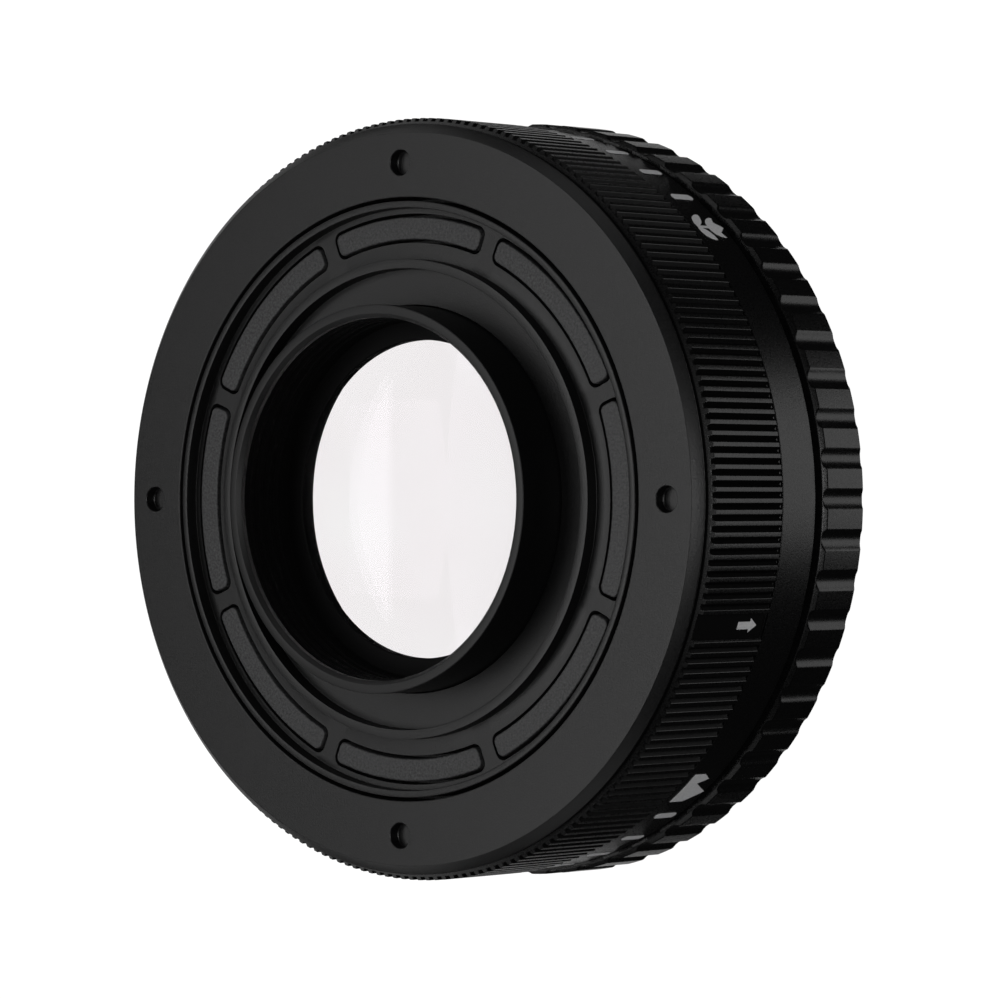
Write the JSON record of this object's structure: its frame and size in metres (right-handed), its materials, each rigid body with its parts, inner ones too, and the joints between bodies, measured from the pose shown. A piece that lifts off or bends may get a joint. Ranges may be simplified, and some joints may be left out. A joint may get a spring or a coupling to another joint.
{
  "type": "macro lens",
  "caption": "Round magnetic close-up lens for an action camera, with a knurled barrel, proud lens tube, scalloped focus ring, distance scale and index arrow.",
  "frame": {"origin": "centre of the circle that the front rim stands on", "axes": "+Z along the optical axis to the camera side, +X and +Y through two of the four spanner holes"},
  "size_m": [0.054, 0.054, 0.0212],
  "materials": {
    "black_anodised": "bead-blasted black anodising",
    "magnet_coat": "grainy dark grey coat",
    "white_paint": "matt white paint",
    "pin_steel": "ground",
    "lens_glass": "polished and coated"
  },
  "bodies": {
    "outer_barrel": {"knurled_barrel": "black_anodised", "index_arrow": "white_paint", "rear_lock_ring": "black_anodised", "magnet_carrier": "black_anodised", "stop_pin": "pin_steel", "mount_magnet_1": "magnet_coat", "mount_magnet_2": "magnet_coat", "mount_magnet_3": "magnet_coat", "mount_magnet_4": "magnet_coat", "mount_magnet_5": "magnet_coat", "mount_magnet_6": "magnet_coat", "mount_magnet_7": "magnet_coat", "mount_magnet_8": "magnet_coat", "guide_pin_1": "pin_steel", "guide_pin_2": "pin_steel", "guide_pin_3": "pin_steel"},
    "focus_ring": {"focus_barrel": "black_anodised", "focus_grip": "black_anodised", "focus_retainer": "black_anodised", "light_baffle": "black_anodised", "front_lens": "lens_glass", "front_lens_ring": "black_anodised", "scale_ticks": "white_paint", "mountain_mark": "white_paint", "flower_mark": "white_paint"},
    "lens_cell": {"lens_tube": "black_anodised", "rear_lens": "lens_glass", "rear_lens_ring": "black_anodised", "inner_lens": "lens_glass", "inner_lens_ring": "black_anodised"}
  },
  "joints": [
    {"name": "focus_turn", "type": "hinge", "parent": "outer_barrel", "child": "focus_ring", "pos_m": [0, 0, 0.0073], "axis": [0, 0, 1], "range_deg": [0, 295.9]},
    {"name": "tube_slide", "type": "slide", "parent": "outer_barrel", "child": "lens_cell", "axis": [0, 0, -1], "range_m": [0, 0.00247]}
  ],
  "couplings": [
    {"joint": "tube_slide", "follows": "focus_turn", "m_per_rad": 0.00047746}
  ]
}
